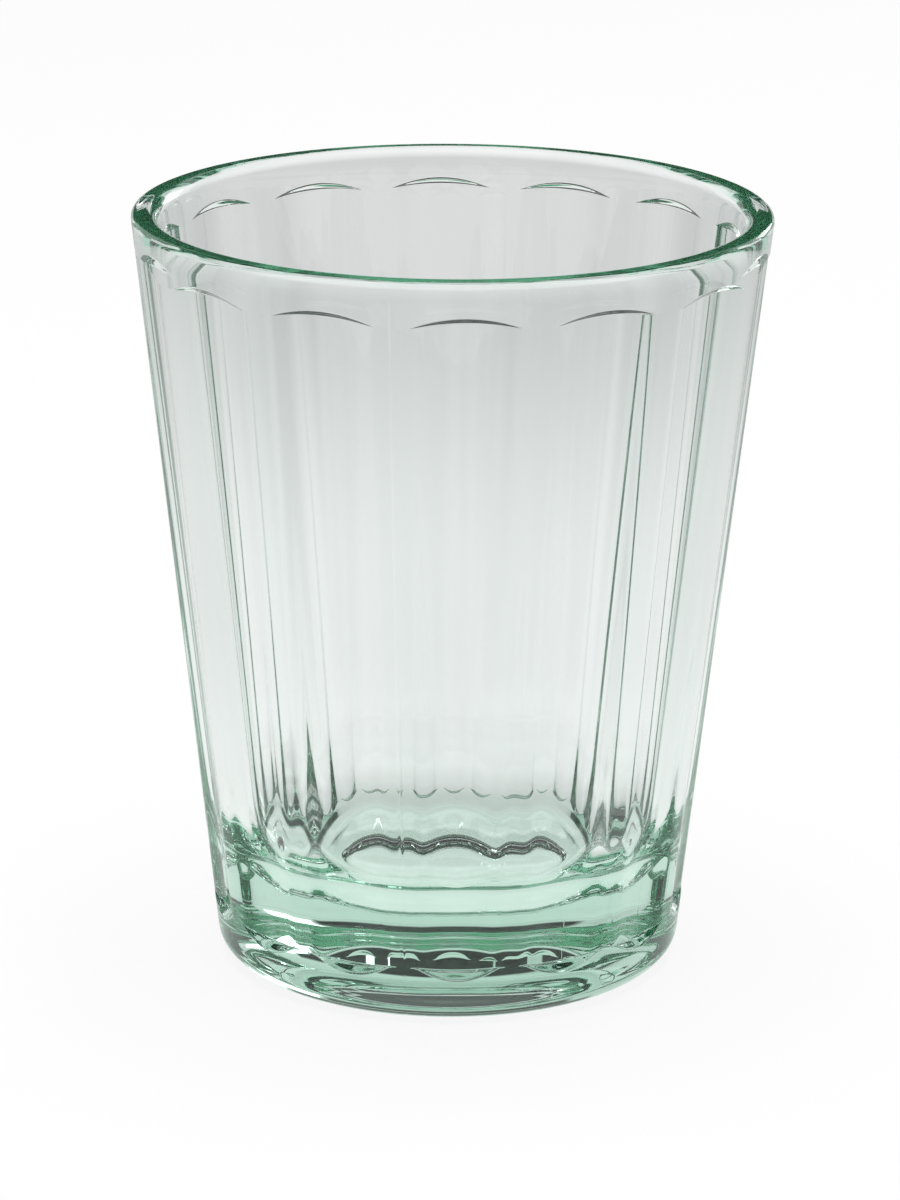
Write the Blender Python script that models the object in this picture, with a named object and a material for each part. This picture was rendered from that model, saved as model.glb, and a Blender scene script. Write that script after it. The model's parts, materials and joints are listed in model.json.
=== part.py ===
# Double old fashioned glass: a pressed glass tumbler with hollow flutes all the way round.
#
# Run with: blender --background --python part.py
# Units are metres and +Z is up. The glass stands on z = 0, centred on the Z axis, and its front faces -Y.
#
# The real tumbler is one piece of glass. It is modelled as the three zones that a glass maker names:
# the heavy base, the fluted wall and the rim band. They meet face to face, a small clearance apart.

import math

import bmesh
import bpy
import numpy

MM = 0.001

# Overall size, measured outside. The diameters are taken where the wall's straight line would meet the
# top and the table.
GLASS_HEIGHT = 108.0 * MM
RIM_DIAMETER = 89.0 * MM
FOOT_DIAMETER = 65.4 * MM

# Thickness of the glass
LIP_THICKNESS = 3.8 * MM
WALL_AT_FLOOR = 4.3 * MM
BASE_THICKNESS = 13.5 * MM
INNER_CORNER_RADIUS = 13.0 * MM

# Fire-polished lip: its top is level between a small rounding outside and a wide one inside
LIP_OUTER_ROUNDING = 0.9 * MM
LIP_INNER_ROUNDING = 1.9 * MM

# Underside: a rounded heel, a narrow ring to stand on, a hardly raised floor inside the ring and a round
# recess in its middle. The higher the recess's power, the flatter its top and the steeper its edge.
HEEL_RADIUS = 4.0 * MM
STAND_DIAMETER = 56.0 * MM
STAND_HEIGHT = 0.2 * MM
RECESS_DIAMETER = 38.0 * MM
RECESS_HEIGHT = 2.2 * MM
RECESS_POWER = 6

# Flutes: a flat facet between two lands is sunk a little further, by the hollow, into a true flute
FLUTE_COUNT = 14
FLUTE_TURN = math.radians(2.455)
LAND_ANGLE = math.radians(6.85)
HOLLOW_AT_TOP = 0.35 * MM
HOLLOW_AT_FOOT = 0.8 * MM

# Share by which the ledge at a flute's end thins out from the middle of the flute to its sides
LEDGE_SHRINK = 0.88

# Upper ends of the flutes: arches under the plain rim band
RIM_BAND = 4.8 * MM
ARCH_RISE = 1.5 * MM
ARCH_LEDGE = 1.0 * MM
ARCH_FADE = 6.0 * MM

# Lower ends of the flutes: crescents above the plain foot band
FOOT_BAND = 3.1 * MM
CRESCENT_DROP = 1.8 * MM
CRESCENT_LEDGE = 1.3 * MM

# Where the three zones meet
CLEARANCE = 0.3 * MM
BASE_JOINT_ANGLE = math.radians(40.0)
RIM_JOINT_STEP = 0.4 * MM

# Fineness of the mesh
FLUTE_COLUMNS = 6
LAND_COLUMNS = 2
WALL_ROWS = 4
HEEL_STEPS = 5
RECESS_STEPS = 5
CORNER_STEPS = 8
LIP_STEPS = 4
WELD = 0.001 * MM

# Finish of each zone, as linear colour. Thick glass looks greener than thin glass.
GLASS_ROUGHNESS = 0.04
GLASS_IOR = 1.52
BASE_COLOUR = (0.40, 0.66, 0.53)
WALL_COLOUR = (0.66, 0.76, 0.72)
RIM_COLOUR = (0.45, 0.68, 0.57)


# Straight lines of the wall

def outer_radius(height):
    """Radius of the round outside wall, before the flutes are pressed in."""
    return numpy.interp(height, (0.0, GLASS_HEIGHT), (FOOT_DIAMETER / 2, RIM_DIAMETER / 2))


def inner_radius(height):
    """Radius of the smooth inside wall."""
    at_floor = outer_radius(BASE_THICKNESS) - WALL_AT_FLOOR
    at_rim = RIM_DIAMETER / 2 - LIP_THICKNESS
    return numpy.interp(height, (BASE_THICKNESS, GLASS_HEIGHT), (at_floor, at_rim))


def taper(radius_at):
    """Angle between a wall and the glass's axis."""
    middle = (BASE_THICKNESS + GLASS_HEIGHT) / 2
    return math.atan2(radius_at(GLASS_HEIGHT) - radius_at(middle), GLASS_HEIGHT - middle)


# Curves of the profile, as lists of radius and height

def arc(centre, radius, start, end, steps):
    """Points along a circular arc, with angles counted from the level direction outwards."""
    angles = numpy.linspace(start, end, steps + 1)
    return [(centre[0] + radius * math.cos(a), centre[1] + radius * math.sin(a)) for a in angles]


def heel_curve():
    """The rounded heel, from the standing ring up to the outside wall."""
    slope = taper(outer_radius)
    centre = (outer_radius(HEEL_RADIUS) - HEEL_RADIUS / math.cos(slope), HEEL_RADIUS)
    return arc(centre, HEEL_RADIUS, -math.pi / 2, -slope, HEEL_STEPS)


def corner_curve(start_angle, end_angle, steps):
    """Part of the rounded inner corner. The floor is at angle 0, and the wall is near a right angle."""
    top = BASE_THICKNESS + INNER_CORNER_RADIUS
    slope = taper(inner_radius)
    centre = (inner_radius(top) - INNER_CORNER_RADIUS / math.cos(slope), top)
    return arc(centre, INNER_CORNER_RADIUS, start_angle - math.pi / 2, end_angle - math.pi / 2, steps)


def corner_angle_at(height):
    """Angle on the inner corner that lies at this height."""
    return math.acos(1 - (height - BASE_THICKNESS) / INNER_CORNER_RADIUS)


def underside():
    """The recess, from the axis to its edge, and the inside of the standing ring."""
    shares = numpy.sqrt(numpy.linspace(0.0, 1.0, RECESS_STEPS + 1))
    recess = [(share * RECESS_DIAMETER / 2, STAND_HEIGHT + RECESS_HEIGHT * (1 - share ** RECESS_POWER))
              for share in shares]
    return recess + [(STAND_DIAMETER / 2, 0.0)]


def lip_curve():
    """The fire-polished lip, from the outside wall over the level top to the inside wall."""
    outer_start = GLASS_HEIGHT - LIP_OUTER_ROUNDING
    inner_start = GLASS_HEIGHT - LIP_INNER_ROUNDING
    outer_centre = (outer_radius(outer_start) - LIP_OUTER_ROUNDING, outer_start)
    inner_centre = (inner_radius(inner_start) + LIP_INNER_ROUNDING, inner_start)
    outer_edge = arc(outer_centre, LIP_OUTER_ROUNDING, 0.0, math.pi / 2, LIP_STEPS)
    inner_edge = arc(inner_centre, LIP_INNER_ROUNDING, math.pi / 2, math.pi, LIP_STEPS)
    return outer_edge + inner_edge


# Heights that the zones and the flutes share

FLUTE_PITCH = 2 * math.pi / FLUTE_COUNT
FLUTE_HALF = (FLUTE_PITCH - LAND_ANGLE) / 2
HEEL_TOP = heel_curve()[-1][1]
FLUTE_FOOT = HEEL_TOP + FOOT_BAND
FLUTE_TOP = GLASS_HEIGHT - RIM_BAND
BASE_JOINT = BASE_THICKNESS + INNER_CORNER_RADIUS * (1 - math.cos(BASE_JOINT_ANGLE))
RIM_JOINT = FLUTE_TOP + RIM_JOINT_STEP

# Rows up the outside wall: height in the middle of a flute, how far the row bends at the lands to follow
# the flutes' ends, and how much of the flute's depth it has
FLUTE_ROWS = (
    (HEEL_TOP, 0.0, 0.0),
    (FLUTE_FOOT, CRESCENT_DROP, 0.0),
    (FLUTE_FOOT + CRESCENT_LEDGE, CRESCENT_DROP - LEDGE_SHRINK * CRESCENT_LEDGE, 1.0),
    (BASE_JOINT - CLEARANCE / 2, 0.0, 1.0),
    (FLUTE_TOP - ARCH_LEDGE - ARCH_FADE, 0.0, 1.0),
    (FLUTE_TOP - ARCH_LEDGE, LEDGE_SHRINK * ARCH_LEDGE - ARCH_RISE, 1.0),
    (FLUTE_TOP, -ARCH_RISE, 0.0),
    (RIM_JOINT - CLEARANCE / 2, 0.0, 0.0),
    (GLASS_HEIGHT, 0.0, 0.0),
)


def flute_depth(offset, height):
    """Depth of a flute below the round wall, at an angle from the flute's middle."""
    if abs(offset) >= FLUTE_HALF:
        return 0.0
    facet = outer_radius(height) * (1 - math.cos(FLUTE_HALF) / math.cos(offset))
    hollow = numpy.interp(height, (FLUTE_FOOT, FLUTE_TOP), (HOLLOW_AT_FOOT, HOLLOW_AT_TOP))
    return facet + hollow * (1 - (offset / FLUTE_HALF) ** 2)


def flute_offset(side):
    """Angle from a flute's middle for a column, so that the flutes' edges fall on columns."""
    edge = FLUTE_COLUMNS / (FLUTE_COLUMNS + LAND_COLUMNS)
    offset = numpy.interp(abs(side), (0.0, edge, 1.0), (0.0, FLUTE_HALF, FLUTE_PITCH / 2))
    return math.copysign(offset, side)


def press_flutes(bm):
    """Turn the spun columns into place and sink the outside wall into flutes."""
    heights, bends, shares = zip(*FLUTE_ROWS)
    for vert in bm.verts:
        radius = math.hypot(vert.co.x, vert.co.y)
        if radius < WELD:
            continue
        height = vert.co.z
        column = math.atan2(vert.co.x, -vert.co.y) / FLUTE_PITCH
        flute = round(column)
        offset = flute_offset(2 * (column - flute))
        on_wall = abs(radius - outer_radius(height)) < WELD and height >= HEEL_TOP
        if on_wall:
            share = numpy.interp(height, heights, shares)
            bend = numpy.interp(height, heights, bends)
            height += bend * min(1.0, abs(offset) / FLUTE_HALF) ** 2
            radius = outer_radius(height) - share * flute_depth(offset, height)
        angle = FLUTE_TURN + flute * FLUTE_PITCH + offset
        vert.co = (radius * math.sin(angle), -radius * math.cos(angle), height)


# The three zones

def wall_rows(low, high):
    """Outside wall points at every flute row from low to high, both ends included."""
    between = [row[0] for row in FLUTE_ROWS if low + WELD < row[0] < high - WELD]
    heights = [low] + between + [high]
    return [(outer_radius(h), h) for h in heights]


def heavy_base_profile():
    """Underside, heel and foot of the wall, with the inside floor on top."""
    top = BASE_JOINT - CLEARANCE / 2
    floor_side = corner_curve(corner_angle_at(top), 0.0, CORNER_STEPS // 2)
    foot_of_wall = wall_rows(HEEL_TOP, top)[1:]
    return underside() + heel_curve() + foot_of_wall + floor_side + [(0.0, BASE_THICKNESS)]


def fluted_wall_profile():
    """A closed ring: the fluted outside, and the smooth inside with the upper part of the corner."""
    low = BASE_JOINT + CLEARANCE / 2
    high = RIM_JOINT - CLEARANCE / 2
    upright = math.pi / 2 - taper(inner_radius)
    corner = corner_curve(upright, corner_angle_at(low), CORNER_STEPS)
    inside = [(inner_radius(h), h) for h in numpy.linspace(high, corner[0][1], WALL_ROWS + 1)]
    return wall_rows(low, high) + inside[:-1] + corner


def rim_band_profile():
    """A closed ring: the plain band above the flutes and the rounded lip."""
    low = RIM_JOINT + CLEARANCE / 2
    return [(outer_radius(low), low)] + lip_curve() + [(inner_radius(low), low)]


def glass_material(name, colour):
    material = bpy.data.materials.new(name)
    material.use_nodes = True
    shader = material.node_tree.nodes["Principled BSDF"]
    shader.inputs["Base Color"].default_value = (*colour, 1.0)
    shader.inputs["Roughness"].default_value = GLASS_ROUGHNESS
    shader.inputs["Metallic"].default_value = 0.0
    shader.inputs["IOR"].default_value = GLASS_IOR
    shader.inputs["Transmission Weight"].default_value = 1.0
    return material


def spin_zone(name, profile, ring, colour):
    """Spin a profile into a solid of glass. A ring's profile is a closed loop that stays off the axis."""
    bm = bmesh.new()
    verts = [bm.verts.new((0.0, -radius, height)) for radius, height in profile]
    edges = [bm.edges.new(pair) for pair in zip(verts, verts[1:])]
    if ring:
        edges.append(bm.edges.new((verts[-1], verts[0])))
    columns = FLUTE_COUNT * (FLUTE_COLUMNS + LAND_COLUMNS)
    bmesh.ops.spin(bm, geom=verts + edges, cent=(0, 0, 0), axis=(0, 0, 1),
                   angle=2 * math.pi, steps=columns, use_merge=True)
    bmesh.ops.remove_doubles(bm, verts=bm.verts, dist=WELD)
    press_flutes(bm)
    bmesh.ops.recalc_face_normals(bm, faces=bm.faces)
    mesh = bpy.data.meshes.new(name)
    bm.to_mesh(mesh)
    bm.free()
    mesh.materials.append(glass_material(name + "_glass", colour))
    zone = bpy.data.objects.new(name, mesh)
    bpy.context.scene.collection.objects.link(zone)
    return zone


def main():
    for old in list(bpy.data.objects):
        bpy.data.objects.remove(old)
    spin_zone("heavy_base", heavy_base_profile(), False, BASE_COLOUR)
    spin_zone("fluted_wall", fluted_wall_profile(), True, WALL_COLOUR)
    spin_zone("rim_band", rim_band_profile(), True, RIM_COLOUR)


main()
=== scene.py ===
# %% [markdown]
# # A pressed glass tumbler
# A double old fashioned glass is one piece of pale green soda-lime glass. It is pressed in a two-part
# mould, and its lip is melted smooth in a flame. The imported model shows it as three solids: base, wall and
# rim band. Clear glass shows every join inside it, so this lesson models the tumbler again as one seamless
# piece of glass, in the place of those solids, and then gives it its finish, a table to stand on and a room
# to reflect.

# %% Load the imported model
import json
import math

import bmesh
import bpy
import numpy
from mathutils import Matrix, Vector

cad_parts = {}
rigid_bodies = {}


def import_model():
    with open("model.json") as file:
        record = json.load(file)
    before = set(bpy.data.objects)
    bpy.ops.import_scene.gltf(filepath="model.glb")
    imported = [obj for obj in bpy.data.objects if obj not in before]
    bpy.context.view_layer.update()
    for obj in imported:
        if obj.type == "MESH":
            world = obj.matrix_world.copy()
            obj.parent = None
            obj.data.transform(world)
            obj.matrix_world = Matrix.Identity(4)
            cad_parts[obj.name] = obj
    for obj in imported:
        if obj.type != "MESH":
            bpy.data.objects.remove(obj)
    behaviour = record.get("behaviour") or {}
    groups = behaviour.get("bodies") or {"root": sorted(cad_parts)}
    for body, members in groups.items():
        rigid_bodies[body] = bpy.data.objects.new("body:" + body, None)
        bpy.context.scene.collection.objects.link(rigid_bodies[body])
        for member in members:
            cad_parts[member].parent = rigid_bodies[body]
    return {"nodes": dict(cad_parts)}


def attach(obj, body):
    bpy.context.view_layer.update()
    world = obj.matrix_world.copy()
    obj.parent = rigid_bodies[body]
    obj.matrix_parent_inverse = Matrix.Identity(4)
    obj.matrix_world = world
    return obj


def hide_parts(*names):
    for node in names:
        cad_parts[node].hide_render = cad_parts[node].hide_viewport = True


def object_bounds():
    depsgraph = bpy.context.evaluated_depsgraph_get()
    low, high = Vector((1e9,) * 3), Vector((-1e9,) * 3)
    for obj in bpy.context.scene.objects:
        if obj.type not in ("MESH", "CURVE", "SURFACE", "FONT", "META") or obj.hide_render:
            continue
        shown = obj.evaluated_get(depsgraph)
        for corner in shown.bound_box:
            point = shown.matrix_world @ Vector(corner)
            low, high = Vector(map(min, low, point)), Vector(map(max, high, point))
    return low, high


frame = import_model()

solid_box = [list(corner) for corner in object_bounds()]
print("solids:", sorted(frame["nodes"]), "box:", solid_box)

# %% [markdown]
# ## Camera
# The tumbler was photographed from a little above, from close by and with a long lens. The camera comes
# first, so that each shape can be compared with the photograph as it is made. Its place, its tilt and its
# lens were fitted to the ellipses of the rim and the foot. It could be aimed with a Track To constraint,
# but a matrix built from its own three axes also holds the small roll of the photograph.

# %% Place the camera
# Blender counts in metres, and for sensor and lens in millimetres. Angles are in radians.
MM = 0.001
CAMERA_PLACE = Vector((0.0, -650.0, 252.44)) * MM
CAMERA_PITCH = 0.300
CAMERA_ROLL = 0.007
SENSOR_HEIGHT = 36.0
LENS = 144.15
NEAREST_SEEN = 10 * MM

forward = Vector((0.0, math.cos(CAMERA_PITCH), -math.sin(CAMERA_PITCH)))
across = Vector((1.0, 0.0, 0.0))
upright = across.cross(forward)
side = across * math.cos(CAMERA_ROLL) + upright * math.sin(CAMERA_ROLL)
top = upright * math.cos(CAMERA_ROLL) - across * math.sin(CAMERA_ROLL)

camera_data = bpy.data.cameras.new("photo_camera")
camera_data.sensor_fit = "VERTICAL"
camera_data.sensor_height = SENSOR_HEIGHT
camera_data.lens = LENS
camera_data.clip_start = NEAREST_SEEN
camera = bpy.data.objects.new("photo_camera", camera_data)
axes = Matrix((side, top, -forward)).transposed().to_4x4()
camera.matrix_world = Matrix.Translation(CAMERA_PLACE) @ axes
bpy.context.scene.collection.objects.link(camera)
bpy.context.scene.camera = camera
print("camera looks down by", round(math.degrees(CAMERA_PITCH), 1), "degrees")

# %% [markdown]
# ## Profile
# A mould maker draws half a section through the tumbler and lets the lathe turn it. The same is done here:
# a few corners, joined by straight edges, run from the middle of the underside round the outside and over
# the lip to the middle of the floor inside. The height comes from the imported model, and the other sizes are
# those that it was made with. A curve object could hold this outline too, but bmesh lets the same mesh be
# rounded, spun and pressed in turn.

# %% Sizes of the section
GLASS_HEIGHT = solid_box[1][2]
RIM_RADIUS = 44.5 * MM
FOOT_RADIUS = 32.7 * MM
LIP_THICKNESS = 3.8 * MM
WALL_AT_FLOOR = 4.3 * MM
BASE_THICKNESS = 13.5 * MM
RECESS_RADIUS = 19.0 * MM
RECESS_HEIGHT = 2.2 * MM
STAND_RADIUS = 28.0 * MM
STAND_HEIGHT = 0.2 * MM


def wall_radius(height):
    """Radius of the round outside wall, before the flutes are pressed in."""
    return FOOT_RADIUS + (RIM_RADIUS - FOOT_RADIUS) * height / GLASS_HEIGHT


print("outside wall leans by", round(math.degrees(math.atan((RIM_RADIUS - FOOT_RADIUS) / GLASS_HEIGHT)), 2))

# %% [markdown]
# Fourteen hollow flutes run down the outside. At the top each one ends in a shallow arch under a plain
# band, and at the foot in a crescent above a plain band. Both ends are small ledges, which is why they
# catch the light as thin bright and dark lines. Rows of the mesh have to lie along those ledges, so their
# heights are corners of the section as well, each with a second row close by that keeps the ledge's edge
# tight.

# %% Heights of the flutes' ends
HEEL_TOP = 3.6 * MM
FLUTE_FOOT = 6.7 * MM
CRESCENT_LEDGE = 1.3 * MM
RIM_BAND = 4.8 * MM
FLUTE_TOP = GLASS_HEIGHT - RIM_BAND
ARCH_LEDGE = 1.0 * MM
HOLD = 0.1 * MM

CRESCENT_TOP = FLUTE_FOOT + CRESCENT_LEDGE
ARCH_FOOT = FLUTE_TOP - ARCH_LEDGE
wall_rows = [FLUTE_FOOT - HOLD, FLUTE_FOOT, CRESCENT_TOP, CRESCENT_TOP + HOLD,
             ARCH_FOOT - HOLD, ARCH_FOOT, FLUTE_TOP, FLUTE_TOP + HOLD]
print("flutes run from", round(FLUTE_FOOT / MM, 1), "to", round(FLUTE_TOP / MM, 1), "mm")

# %% Join the corners of the section
underside = [(0.0, STAND_HEIGHT + RECESS_HEIGHT), (RECESS_RADIUS, STAND_HEIGHT),
             (RECESS_RADIUS + HOLD, STAND_HEIGHT), (STAND_RADIUS, 0.0), (FOOT_RADIUS, 0.0)]
outside = [(wall_radius(height), height) for height in wall_rows]
lip = [(RIM_RADIUS, GLASS_HEIGHT), (RIM_RADIUS - LIP_THICKNESS, GLASS_HEIGHT)]
floor = [(wall_radius(BASE_THICKNESS) - WALL_AT_FLOOR, BASE_THICKNESS), (0.0, BASE_THICKNESS)]

section = bmesh.new()
outline = [section.verts.new((0.0, -radius, height)) for radius, height in underside + outside + lip + floor]
for pair in zip(outline, outline[1:]):
    section.edges.new(pair)
heel = outline[len(underside) - 1]
lip_outside, lip_inside, floor_edge = outline[len(underside + outside):-1]
print("corners of the section:", len(section.verts))

# %% [markdown]
# Molten glass leaves no sharp corner. The heel, the lip and the wide corner inside are rounded with a bevel
# of single vertices. The lip's top stays level between a small rounding outside and a wide one inside. A
# profile of 0.5 gives a true arc, and the bevel's offset is worked out from the arc's radius and the angle
# between the two edges that meet there.

# %% Round the heel, the lip and the inner corner
# Radius of each arc, and the number of straight pieces that it is made of
HEEL_ROUNDING = (4.0 * MM, 10)
LIP_OUTER_ROUNDING = (0.9 * MM, 7)
LIP_INNER_ROUNDING = (1.9 * MM, 7)
FLOOR_ROUNDING = (13.0 * MM, 16)


def round_corner(vert, radius, segments):
    """Turn one corner of the section into an arc."""
    along = [edge.other_vert(vert).co - vert.co for edge in vert.link_edges]
    reach = radius / math.tan(along[0].angle(along[1]) / 2)
    bmesh.ops.bevel(section, geom=[vert], offset=reach, offset_type="OFFSET", segments=segments,
                    profile=0.5, affect="VERTICES", material=-1)
    return reach


for vert, rounding in ((heel, HEEL_ROUNDING), (lip_outside, LIP_OUTER_ROUNDING),
                       (lip_inside, LIP_INNER_ROUNDING), (floor_edge, FLOOR_ROUNDING)):
    print("rounded over", round(round_corner(vert, *rounding) / MM, 2), "mm")

# %% [markdown]
# Long edges are cut into short ones, so that the spun mesh has rows fine enough to bend and to be pressed.
# The underside isn't flat: the tumbler stands on a ring, and a round recess lies inside it. Seen through
# the thick base, the recess's edge is the dark lobed line in the floor. Its height follows a power of the
# distance from the middle, which gives it a flat top and a steep edge in one formula.

# %% Cut the long edges and sink the recess
ROW = 2.4 * MM
RECESS_ROW = 0.8 * MM
LEDGE_CUTS = 4
WALL_TOLERANCE = 0.1 * MM
RECESS_POWER = 6


def in_recess(point):
    """True on the underside, inside the recess."""
    return point.z < BASE_THICKNESS / 2 and -point.y < RECESS_RADIUS


for edge in list(section.edges):
    middle = (edge.verts[0].co + edge.verts[1].co) / 2
    on_wall = abs(-middle.y - wall_radius(middle.z)) < WALL_TOLERANCE
    on_ledge = on_wall and (FLUTE_FOOT < middle.z < CRESCENT_TOP or ARCH_FOOT < middle.z < FLUTE_TOP)
    row = RECESS_ROW if in_recess(middle) else ROW
    cuts = LEDGE_CUTS if on_ledge else math.ceil(edge.calc_length() / row) - 1
    if cuts:
        bmesh.ops.subdivide_edges(section, edges=[edge], cuts=cuts)

for vert in section.verts:
    if in_recess(vert.co):
        vert.co.z = STAND_HEIGHT + RECESS_HEIGHT * (1 - (-vert.co.y / RECESS_RADIUS) ** RECESS_POWER)
print("points of the section:", len(section.verts))

# %% [markdown]
# ## Turned body
# Spinning the section round the upright axis gives the plain tumbler. The number of columns is a multiple
# of the number of flutes, so that every flute gets the same columns. A full spin needs use_merge to close
# its seam, and the points on the axis still have to be merged into one.

# %% Spin the section
FLUTE_COUNT = 14
FLUTE_COLUMNS = 32
WELD = 0.001 * MM

tumbler = section
bmesh.ops.spin(tumbler, geom=tumbler.verts[:] + tumbler.edges[:], cent=(0, 0, 0), axis=(0, 0, 1),
               angle=2 * math.pi, steps=FLUTE_COUNT * FLUTE_COLUMNS, use_merge=True)
bmesh.ops.remove_doubles(tumbler, verts=tumbler.verts, dist=WELD)
bmesh.ops.recalc_face_normals(tumbler, faces=tumbler.faces)
print("turned body:", len(tumbler.faces), "faces")

# %% [markdown]
# ## Flutes
# The mould presses each flute in as a shallow hollow between two narrow lands. Boolean cutters would do it
# too, but they leave long thin faces, and glass shows those as streaks. Moving the turned body's own points
# keeps its even mesh. The depth of a flute with sharp edges is worked out first, and then averaged over a
# small angle, because fire polish softens the edges.

# %% Depth of one flute
FLUTE_TURN = math.radians(2.455)
LAND_ANGLE = math.radians(6.85)
EDGE_SOFTNESS = math.radians(1.0)
HOLLOW_AT_TOP = 0.35 * MM
HOLLOW_AT_FOOT = 0.8 * MM
SOFT_STEPS = 8

FLUTE_PITCH = 2 * math.pi / FLUTE_COUNT
FLUTE_HALF = (FLUTE_PITCH - LAND_ANGLE) / 2
soft_weights = [math.comb(SOFT_STEPS, step) for step in range(SOFT_STEPS + 1)]
soft_spots = (numpy.arange(SOFT_STEPS + 1) - SOFT_STEPS / 2) * EDGE_SOFTNESS * 2 / math.sqrt(SOFT_STEPS)


def sharp_depth(offset, height):
    """Depth of a flute with sharp edges: a flat facet, sunk a little further by its hollow."""
    inside = numpy.minimum(numpy.abs(offset), FLUTE_HALF)
    facet = wall_radius(height) * (1 - math.cos(FLUTE_HALF) / numpy.cos(inside))
    hollow = numpy.interp(height, (FLUTE_FOOT, FLUTE_TOP), (HOLLOW_AT_FOOT, HOLLOW_AT_TOP))
    return facet + hollow * (1 - (inside / FLUTE_HALF) ** 2)


def flute_depth(offset, height):
    """Depth below the round wall, at an angle from the middle of a flute, with its edges softened."""
    return numpy.average(sharp_depth(offset + soft_spots, height), weights=soft_weights)


print("depth in the middle:", [round(flute_depth(0.0, end) / MM, 2) for end in (FLUTE_FOOT, FLUTE_TOP)], "mm")

# %% [markdown]
# The rows at a flute's ends bend along its arch and its crescent: a row's bend grows from the middle of the
# flute to its lands. The flute's depth sets in over the width of the ledge, in a soft S rather than a
# straight slope.

# %% Press the flutes
CRESCENT_DROP = 1.8 * MM
ARCH_RISE = 1.5 * MM
LEDGE_SHRINK = 0.88
BEND_FADE = 8.0 * MM
BEND_END = GLASS_HEIGHT - 3.7 * MM

# Height in the middle of a flute, bend of the row at the lands, and share of the flute's depth
FLUTE_ROWS = (
    (HEEL_TOP, 0.0, 0.0),
    (FLUTE_FOOT, CRESCENT_DROP, 0.0),
    (CRESCENT_TOP, CRESCENT_DROP - LEDGE_SHRINK * CRESCENT_LEDGE, 1.0),
    (CRESCENT_TOP + BEND_FADE, 0.0, 1.0),
    (ARCH_FOOT - BEND_FADE, 0.0, 1.0),
    (ARCH_FOOT, LEDGE_SHRINK * ARCH_LEDGE - ARCH_RISE, 1.0),
    (FLUTE_TOP, -ARCH_RISE, 0.0),
    (BEND_END, 0.0, 0.0),
)
row_heights, row_bends, row_shares = zip(*FLUTE_ROWS)
pressed = 0

bmesh.ops.rotate(tumbler, verts=tumbler.verts, cent=(0, 0, 0), matrix=Matrix.Rotation(FLUTE_TURN, 3, "Z"))
for vert in tumbler.verts:
    radius = math.hypot(vert.co.x, vert.co.y)
    height = vert.co.z
    if HEEL_TOP < height < BEND_END and abs(radius - wall_radius(height)) < WELD:
        angle = math.atan2(vert.co.x, -vert.co.y)
        offset = math.remainder(angle - FLUTE_TURN, FLUTE_PITCH)
        share = numpy.interp(height, row_heights, row_shares)
        soft_share = share * share * (3 - 2 * share)
        bend = numpy.interp(height, row_heights, row_bends)
        height += bend * min(1.0, abs(offset) / FLUTE_HALF) ** 2
        radius = wall_radius(height) - soft_share * flute_depth(offset, height)
        vert.co = (radius * math.sin(angle), -radius * math.cos(angle), height)
        pressed += 1
print("points moved into flutes:", pressed)

# %% [markdown]
# ## Mould seams
# The two halves of the mould meet on two opposite lands, and a hair of glass is squeezed into the gap. That
# seam is the mark of pressed glass. It could be painted on with a bump, but a bevel of the one column of
# edges in the middle of the land gives a real ridge: the bevel makes three columns, and the middle one is
# raised.

# %% Raise the two seams
SEAM_HALF_WIDTH = 0.16 * MM
SEAM_HEIGHT = 0.05 * MM
SEAM_FOOT = 1.0 * MM
SEAM_TOP = GLASS_HEIGHT - 1.85 * MM


def on_seam(vert):
    """True on the outside, in the middle of the two lands where the halves of the mould meet."""
    angle = math.atan2(vert.co.x, -vert.co.y) - FLUTE_TURN + FLUTE_PITCH / 2
    from_axis = math.hypot(vert.co.x, vert.co.y)
    lies_in_plane = abs(math.sin(angle)) * from_axis < WELD
    lies_outside = from_axis > wall_radius(vert.co.z) - LIP_THICKNESS / 2
    return lies_in_plane and lies_outside and SEAM_FOOT < vert.co.z < SEAM_TOP


seam_edges = [edge for edge in tumbler.edges if on_seam(edge.verts[0]) and on_seam(edge.verts[1])]
bmesh.ops.bevel(tumbler, geom=seam_edges, offset=SEAM_HALF_WIDTH, offset_type="OFFSET", segments=2,
                profile=0.5, affect="EDGES", material=-1)
ridge = [vert for vert in tumbler.verts if on_seam(vert)]
for vert in ridge:
    out = Vector((vert.co.x, vert.co.y, 0.0)).normalized()
    vert.co += out * SEAM_HEIGHT
print("seams:", len(seam_edges), "edges,", len(ridge), "points raised")

# %% [markdown]
# ## One piece of glass
# The pressed body becomes one object, shaded smooth. Light bends one way into glass and the other way out
# of it, so the mesh has to be closed, and its faces have to look outwards. A closed mesh also tells how
# much glass the tumbler takes.

# %% Make the piece
MILLILITRE = (10 * MM) ** 3

bmesh.ops.recalc_face_normals(tumbler, faces=tumbler.faces)
for face in tumbler.faces:
    face.smooth = True
glass_volume = tumbler.calc_volume()
glass_mesh = bpy.data.meshes.new("fluted_tumbler")
tumbler.to_mesh(glass_mesh)
tumbler.free()
fluted_tumbler = bpy.data.objects.new("fluted_tumbler", glass_mesh)
bpy.context.scene.collection.objects.link(fluted_tumbler)
glass_mesh.calc_loop_triangles()
print("glass:", round(glass_volume / MILLILITRE, 1), "ml,", len(glass_mesh.loop_triangles), "triangles")

# %% [markdown]
# ## Shader maths
# Materials are networks of nodes. Adding and linking each Math node by hand hides the idea behind the
# wiring, so a small class wraps one output socket: arithmetic on it adds Math nodes, and add makes any
# other node.

# %% A socket that can be calculated with


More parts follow.
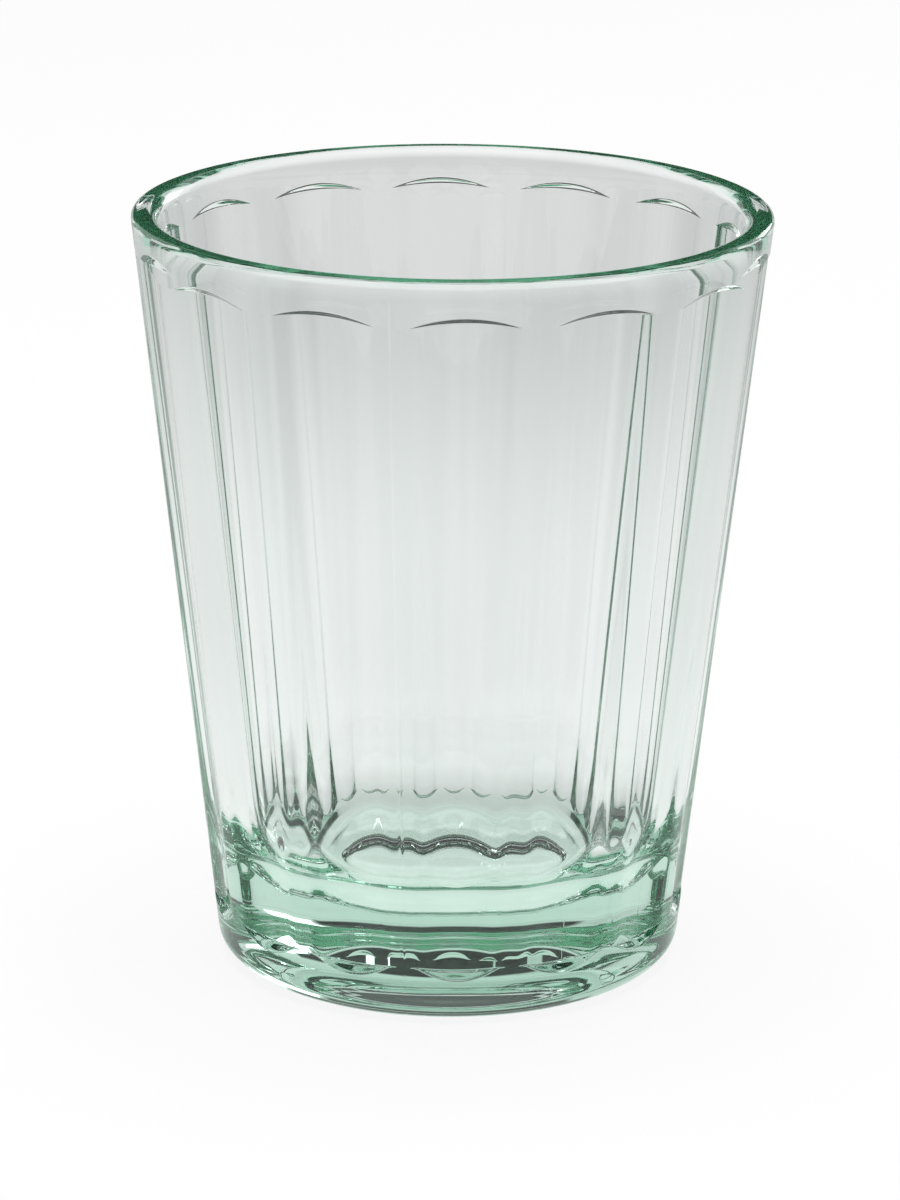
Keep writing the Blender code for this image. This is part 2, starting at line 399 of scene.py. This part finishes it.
class Wire:
    """One output socket of a node tree."""

    def __init__(self, tree, socket=None):
        self.tree = tree
        self.socket = socket

    def add(self, kind, settings, sockets, output=0):
        """Add a node: its settings first, then its sockets, and return one of its outputs."""
        node = self.tree.nodes.new(kind)
        for name, value in settings.items():
            if name == "stops":  # of a colour ramp, which starts with two
                for extra in value[2:]:
                    node.color_ramp.elements.new(extra[0])
                for stop, (position, grey) in zip(node.color_ramp.elements, value):
                    stop.position = position
                    stop.color = (grey, grey, grey, 1.0)
            else:
                setattr(node, name, value)
        for name, value in sockets.items():
            if isinstance(value, Wire):
                self.tree.links.new(value.socket, node.inputs[name])
            else:
                node.inputs[name].default_value = value
        return Wire(self.tree, node.outputs[output] if node.outputs else None)

    def output(self, name):
        """Another output of the same node."""
        return Wire(self.tree, self.socket.node.outputs[name])

    def maths(self, operation, first, second):
        """One Math node."""
        return self.add("ShaderNodeMath", {"operation": operation}, {0: first, 1: second})

    def __add__(self, other):
        return self.maths("ADD", self, other)

    __radd__ = __add__

    def __sub__(self, other):
        return self.maths("SUBTRACT", self, other)

    def __rsub__(self, other):
        return self.maths("SUBTRACT", other, self)

    def __mul__(self, other):
        return self.maths("MULTIPLY", self, other)

    __rmul__ = __mul__

    def __lt__(self, other):
        return self.maths("LESS_THAN", self, other)

    def __gt__(self, other):
        return self.maths("GREATER_THAN", self, other)


print("shader maths ready")

# %% [markdown]
# A few nodes come up again and again: a soft step from one level to another, a mix of two colours, and a
# colour made brighter or darker by a level. Colours need Mix and Vector Math, because a Math node turns
# them grey.

# %% Nodes that are used often


def soft_step(value, start, end, low=0.0, high=1.0):
    """Go softly from low to high while a value goes from start to end."""
    return value.add("ShaderNodeMapRange", {"interpolation_type": "SMOOTHSTEP"},
                     {"Value": value, "From Min": start, "From Max": end, "To Min": low, "To Max": high})


def mix_colours(share, first, second, blend="MIX"):
    """Blend two colours. A Mix node keeps its colours at sockets 6 and 7, and the result at output 2."""
    return share.add("ShaderNodeMix", {"data_type": "RGBA", "blend_type": blend},
                     {0: share, 6: first, 7: second}, 2)


def brighten(colour, level):
    """A colour multiplied by a level."""
    return level.add("ShaderNodeVectorMath", {"operation": "SCALE"}, {0: colour, "Scale": level}, "Vector")


def new_material(name):
    """An empty material, and a wire to start its nodes from."""
    material = bpy.data.materials.new(name)
    material.use_nodes = True
    material.node_tree.nodes.clear()
    return material, Wire(material.node_tree)


WHITE = (1.0, 1.0, 1.0, 1.0)
print("helpers ready")

# %% [markdown]
# ## Pressed glass
# The green of such glass comes from a trace of iron, and it deepens with the length of the path through the
# glass. So the colour isn't on the surface: a Volume Absorption node takes red and blue out along the way,
# which leaves thin walls nearly clear and turns the base and the rim green. The surface is fire-polished,
# but not quite even: chill marks from the mould run down the wall as faint streaks, handling leaves
# slightly dull smudges, and both are patterns on Object coordinates.

# %% Finish of the glass
GLASS_IOR = 1.52
IRON_GREEN = (0.44, 0.75, 0.605)
IRON_DENSITY = 20.0
STREAKS = {"Scale": 90.0, "Detail": 2.0}
STREAK_STRETCH = (1.0, 1.0, 0.08)
STREAK_DEPTH = 0.010 * MM
WAVES = {"Scale": 45.0, "Detail": 1.0}
WAVE_DEPTH = 0.015 * MM
SMUDGES = {"Scale": 60.0, "Detail": 5.0}
SMUDGE_EDGE = (0.52, 0.75)
POLISHED = 0.004
SMUDGED = 0.02
CHILL_EDGE = (0.35, 0.7)
CHILLED = (0.965, 0.972, 0.975, 1.0)

pressed_glass, glass_nodes = new_material("pressed_glass")
on_glass = glass_nodes.add("ShaderNodeTexCoord", {}, {}, "Object")
stretched = glass_nodes.add("ShaderNodeMapping", {}, {"Vector": on_glass, "Scale": STREAK_STRETCH})
streaks = glass_nodes.add("ShaderNodeTexNoise", {}, {"Vector": stretched, **STREAKS})
waves = glass_nodes.add("ShaderNodeTexNoise", {}, {"Vector": on_glass, **WAVES})
smudges = glass_nodes.add("ShaderNodeTexNoise", {}, {"Vector": on_glass, **SMUDGES})

ripple = streaks * STREAK_DEPTH + waves * WAVE_DEPTH
uneven = glass_nodes.add("ShaderNodeBump", {}, {"Height": ripple, "Strength": 1.0, "Distance": 1.0})
dullness = soft_step(smudges, *SMUDGE_EDGE, POLISHED, SMUDGED)
tint = mix_colours(soft_step(streaks, *CHILL_EDGE), WHITE, CHILLED)
surface = glass_nodes.add("ShaderNodeBsdfPrincipled", {},
                          {"Base Color": tint, "Roughness": dullness, "Normal": uneven,
                           "IOR": GLASS_IOR, "Transmission Weight": 1.0})
iron = glass_nodes.add("ShaderNodeVolumeAbsorption", {},
                       {"Color": (*IRON_GREEN, 1.0), "Density": IRON_DENSITY})
glass_nodes.add("ShaderNodeOutputMaterial", {}, {"Surface": surface, "Volume": iron})
glass_mesh.materials.append(pressed_glass)
print("iron takes out", [round(IRON_DENSITY * (1 - part), 1) for part in IRON_GREEN], "per metre")

# %% [markdown]
# ## Table
# The tumbler stands on a white table that has no edge in the picture. A white table is a matter of its
# colour and not of more light: what the camera sees of it is mostly a plain white glow of strength 1, with
# a share of ordinary lit surface that keeps the soft shadow.

# %% Lay the table
TABLE_RADIUS = 3.0
TABLE_SIDES = 96
TABLE_GAP = 0.05 * MM

table_bm = bmesh.new()
bmesh.ops.create_circle(table_bm, cap_ends=True, segments=TABLE_SIDES, radius=TABLE_RADIUS,
                        matrix=Matrix.Translation((0.0, 0.0, -TABLE_GAP)))
table_mesh = bpy.data.meshes.new("table")
table_bm.to_mesh(table_mesh)
table_bm.free()
table = bpy.data.objects.new("table", table_mesh)
bpy.context.scene.collection.objects.link(table)
print("table:", TABLE_RADIUS * 2, "m across")

# %% [markdown]
# The glass shows the same table, and there it is less even, as a real one is. Its light and shade are painted
# into its glow: a painted falloff of light away from the tumbler and to the sides, a painted shadow in a ring
# at the foot, and painted green light under the base, where light comes through the green glass. A lit table
# could do this by itself, but then it wouldn't be plain white for the camera.

# %% What the glass shows of the table
# Distances from the tumbler's axis, and levels
FALLOFF_STARTS = 170 * MM
FALLOFF_ENDS = 400 * MM
NEAR_LEVEL = 0.97
FAR_LEVEL = 0.72
SIDE_STARTS = 45 * MM
SIDE_ENDS = 140 * MM
SIDE_LEVEL = 0.86
SHADE_REACH = 110 * MM
# Each stop of the painted shadow ring at the foot is a distance in millimetres and a level
PAINTED_SHADOW_RING = ((0, 1.0), (28, 1.0), (37, 0.75), (50, 1.0), (110, 1.0))
TINT_OUTSIDE = 1.3 * FOOT_RADIUS
TINT_INSIDE = 0.8 * FOOT_RADIUS
# Painted light: the table under the base is tinted green, where light comes through the green glass
GREEN_LIGHT_UNDER_BASE = (0.88, 1.0, 0.94, 1.0)

white_table, table_nodes = new_material("white_table")
table_seen = table_nodes.add("ShaderNodeLightPath", {}, {}, "Is Camera Ray")
on_table = table_nodes.add("ShaderNodeTexCoord", {}, {}, "Object")
backwards = table_nodes.add("ShaderNodeSeparateXYZ", {}, {"Vector": on_table}, "Y")
off_middle = table_nodes.maths("ABSOLUTE", backwards.output("X"), 0.0)
away = table_nodes.add("ShaderNodeVectorMath", {"operation": "LENGTH"}, {0: on_table}, "Value")

# Painted light: the glow that the glass shows dims away from the tumbler and to the sides, as light falls off
painted_light_falloff = soft_step(away, FALLOFF_STARTS, FALLOFF_ENDS, NEAR_LEVEL, FAR_LEVEL)
painted_side_falloff = soft_step(off_middle, SIDE_STARTS, SIDE_ENDS, 1.0, SIDE_LEVEL)
# Painted shadow: the table's glow is darker in a ring round the foot
ring_stops = [(radius * MM / SHADE_REACH, grey) for radius, grey in PAINTED_SHADOW_RING]
painted_shadow = table_nodes.add("ShaderNodeValToRGB", {"stops": ring_stops}, {"Fac": away * (1 / SHADE_REACH)})
# Painted green light under the base, only for rays that the glass shows
green_light_share = soft_step(away, TINT_OUTSIDE, TINT_INSIDE)
green_lit_colour = mix_colours(green_light_share * (1 - table_seen), WHITE, GREEN_LIGHT_UNDER_BASE)
print("table falls off from", NEAR_LEVEL, "to", FAR_LEVEL)

# %% [markdown]
# Light that was reflected on its way gets two more changes, and both are stand-ins for a real room that is
# darker than this one. The table in front of the tumbler gets painted shade in reflections, and light that
# was reflected inside the glass many times comes back a deeper green, although total reflection itself loses
# nothing. Light Path counts the bounces, and its depths are whole numbers, so each limit lies halfway
# between two of them.

# %% Reflected light
REFLECTED_DEPTH = 0.5
TRAPPED_DEPTH = 4.5
TRAPPED_GREEN = (0.65, 0.88, 0.78, 1.0)
FRONT_SHADE_LEVEL = 0.45
FRONT_STARTS = -30 * MM
FRONT_ENDS = -110 * MM


def tint_trapped(rays, colour):
    """Deepen a colour where the rays of a Light Path node were reflected inside the glass many times."""
    trapped = rays.output("Glossy Depth") > TRAPPED_DEPTH
    return mix_colours(trapped, colour, TRAPPED_GREEN, "MULTIPLY")


reflected = table_seen.output("Glossy Depth") > REFLECTED_DEPTH
# Painted shade on the table in front of the tumbler, seen only in reflections
front_shade_share = soft_step(backwards, FRONT_STARTS, FRONT_ENDS)
painted_front_shade = 1 - reflected * front_shade_share * (1 - FRONT_SHADE_LEVEL)
print("table in front at", FRONT_SHADE_LEVEL, "in reflections")

# %% Finish of the table
TABLE_COLOUR = (0.9, 0.9, 0.9, 1.0)
SHADOW_SHARE = 0.1

# The painted light and shade of the table, as the glass shows it
level_in_glass = painted_light_falloff * painted_side_falloff * painted_shadow * painted_front_shade
glow_level = table_seen + (1 - table_seen) * level_in_glass
glow_colour = brighten(tint_trapped(table_seen, green_lit_colour), glow_level)
glow = table_nodes.add("ShaderNodeEmission", {}, {"Color": glow_colour})
lit = table_nodes.add("ShaderNodeBsdfDiffuse", {}, {"Color": TABLE_COLOUR})
through_glass = table_nodes.maths("MAXIMUM", table_seen.output("Is Glossy Ray"),
                                  table_seen.output("Is Transmission Ray"))
glow_share = table_seen * (1 - SHADOW_SHARE) + through_glass * (1 - table_seen)
mixed = table_nodes.add("ShaderNodeMixShader", {}, {0: glow_share, 1: lit, 2: glow})
table_nodes.add("ShaderNodeOutputMaterial", {}, {"Surface": mixed})
table_mesh.materials.append(white_table)
print("share of the table that keeps the shadow:", SHADOW_SHARE)

# %% [markdown]
# ## Room
# Clear glass has hardly a look of its own: it shows what is round it. In a room that is white all over it
# would vanish, so photographers let dark walls stand beyond a white table, and the edges of the glass pick
# them up as dark lines. A picture of a real studio could be wrapped round the scene, but a few levels by
# direction are enough: pale just above the table, dark walls, and a dim ceiling. The camera itself sees
# plain white.

# %% Walls and ceiling, by height
# Levels, and heights as degrees above the horizon
HORIZON_LEVEL = 0.95
HORIZON_TOP = 2.0
WALL_LEVEL = 0.03
WALL_FOOT = 5.0
WALL_TOP = 62.0
CEILING_LEVEL = 0.55
CEILING_FOOT = 72.0


def sine(degrees):
    """Height of a direction of length 1 that rises by this angle."""
    return math.sin(math.radians(degrees))


world = bpy.data.worlds.new("room")
bpy.context.scene.world = world
world.use_nodes = True
world.node_tree.nodes.clear()
room_nodes = Wire(world.node_tree)
direction = room_nodes.add("ShaderNodeTexCoord", {}, {}, "Generated")
upwards = room_nodes.add("ShaderNodeSeparateXYZ", {}, {"Vector": direction}, "Z")
wall_stops = ((0.0, HORIZON_LEVEL), (sine(HORIZON_TOP), HORIZON_LEVEL),
              (sine(WALL_FOOT), WALL_LEVEL), (sine(WALL_TOP), WALL_LEVEL),
              (sine(CEILING_FOOT), CEILING_LEVEL), (1.0, CEILING_LEVEL))
walls = room_nodes.add("ShaderNodeValToRGB", {"stops": wall_stops}, {"Fac": upwards})
print("walls at", WALL_LEVEL, "ceiling at", CEILING_LEVEL)

# %% [markdown]
# Two white boards stand behind the tumbler, left and right of a dark gap, and a pale strip joins them above
# it. The gap is what the rim and the upper ends of the flutes show as dark lines, and the boards brighten
# the rest.

# %% Boards behind the tumbler
# Levels, angles to either side of straight behind, and heights, in degrees
LEFT_BOARD = 0.8
RIGHT_BOARD = 1.0
GAP_ANGLE = 23.0
GAP_TOP = 27.0
BOARD_ANGLE = 52.0
BOARD_TOP = 32.0
SOFT_EDGE = 0.03


def beyond(value, edge):
    """1 where a value is past an edge, and 0 before it, with a soft change between."""
    return soft_step(value, edge - SOFT_EDGE, edge + SOFT_EDGE)


def slope(degrees):
    """How far sideways a line at this angle goes, for each step backwards."""
    return math.tan(math.radians(degrees))


rearwards = upwards.output("Y")
rightwards = upwards.output("X")
sideways = room_nodes.maths("ABSOLUTE", rightwards, 0.0)
off_gap = beyond(sideways - rearwards * slope(GAP_ANGLE), 0.0)
open_view = room_nodes.maths("MAXIMUM", off_gap, beyond(upwards, sine(GAP_TOP)))
on_boards = beyond(rearwards * slope(BOARD_ANGLE) - sideways, 0.0)
below_top = 1 - beyond(upwards, sine(BOARD_TOP))
board_level = beyond(rightwards, 0.0) * (RIGHT_BOARD - LEFT_BOARD) + LEFT_BOARD
boards = open_view * board_level * on_boards * below_top
print("boards at", LEFT_BOARD, "and", RIGHT_BOARD)

# %% [markdown]
# The thick base shows more of a room than this simple one holds: light is reflected inside it before it
# comes out, and brings in lamps and pale things that the photograph doesn't show. So light that was
# reflected inside the base, and didn't cross the cup, sees a paler studio: pale low down and pale high up.
# This is a guess at an unknown room, and it reads only the counts of Light Path, not where the camera
# stands.

# %% What light inside the glass sees
STUDIO_LEVEL = 0.95
STUDIO_LOW_END = 14.5
STUDIO_HIGH_START = 29.0
CROSSED_DEPTH = 0.5
CUP_DEPTH = 3.5

room_seen = room_nodes.add("ShaderNodeLightPath", {}, {}, "Is Camera Ray")
crossings = room_seen.output("Transmission Depth")
bounced = room_seen.output("Glossy Depth") > REFLECTED_DEPTH
in_base = bounced * (crossings > CROSSED_DEPTH) * (crossings < CUP_DEPTH)
low_studio = (1 - beyond(upwards, sine(STUDIO_LOW_END))) * HORIZON_LEVEL
high_studio = beyond(upwards, sine(STUDIO_HIGH_START)) * STUDIO_LEVEL
studio = (low_studio + high_studio) * in_base
room_level = room_nodes.maths("MAXIMUM", room_nodes.maths("MAXIMUM", walls, boards), studio)
world_level = room_seen + (1 - room_seen) * room_level
room_colour = brighten(tint_trapped(room_seen, WHITE), world_level)
background = room_nodes.add("ShaderNodeBackground", {}, {"Color": room_colour})
room_nodes.add("ShaderNodeOutputWorld", {}, {"Surface": background})
print("light inside the base sees", STUDIO_LEVEL, "above", STUDIO_HIGH_START, "degrees")

# %% [markdown]
# ## Lamps
# Two softboxes give the plain soft light of a small studio. The one overhead lights the table and throws
# the soft shadow at the foot. The glass would show it as a hard square that the photograph doesn't have, so
# it is kept out of reflections. The one behind, on the right, shows as small white patches in the thick
# base.

# %% Hang the softboxes
AIM = Vector((0.0, 0.0, 0.05))
# Name, place, width in metres, power in watts, and whether the glass shows it
SOFTBOXES = (
    ("overhead_softbox", Vector((0.0, 0.0, 1.3)), 0.9, 19.0, False),
    ("side_softbox", Vector((0.62, 0.99, 0.32)), 0.35, 1.2, True),
)

for name, spot, width, power, shows in SOFTBOXES:
    lamp = bpy.data.lights.new(name, "AREA")
    lamp.shape = "SQUARE"
    lamp.size = width
    lamp.energy = power
    softbox = bpy.data.objects.new(name, lamp)
    softbox.location = spot
    softbox.rotation_euler = (AIM - spot).to_track_quat("-Z", "Y").to_euler()
    softbox.visible_camera = False
    softbox.visible_glossy = shows
    softbox.visible_transmission = shows
    bpy.context.scene.collection.objects.link(softbox)
    print(name, power, "W")

# %% [markdown]
# ## Body and bounces
# The tumbler rides on the model's one body and stands for its three solids. The table is only a stage.
# Glass needs many bounces, because light in the base is reflected inside it many times before it comes out.

# %% Attach the tumbler, hide the solids and set the bounces
ALL_BOUNCES = 32
GLASS_BOUNCES = 24

scene = bpy.context.scene
scene.view_settings.view_transform = "Standard"
scene.cycles.max_bounces = ALL_BOUNCES
scene.cycles.glossy_bounces = GLASS_BOUNCES
scene.cycles.transmission_bounces = GLASS_BOUNCES

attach(fluted_tumbler, "root")
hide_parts("heavy_base", "fluted_wall", "rim_band")
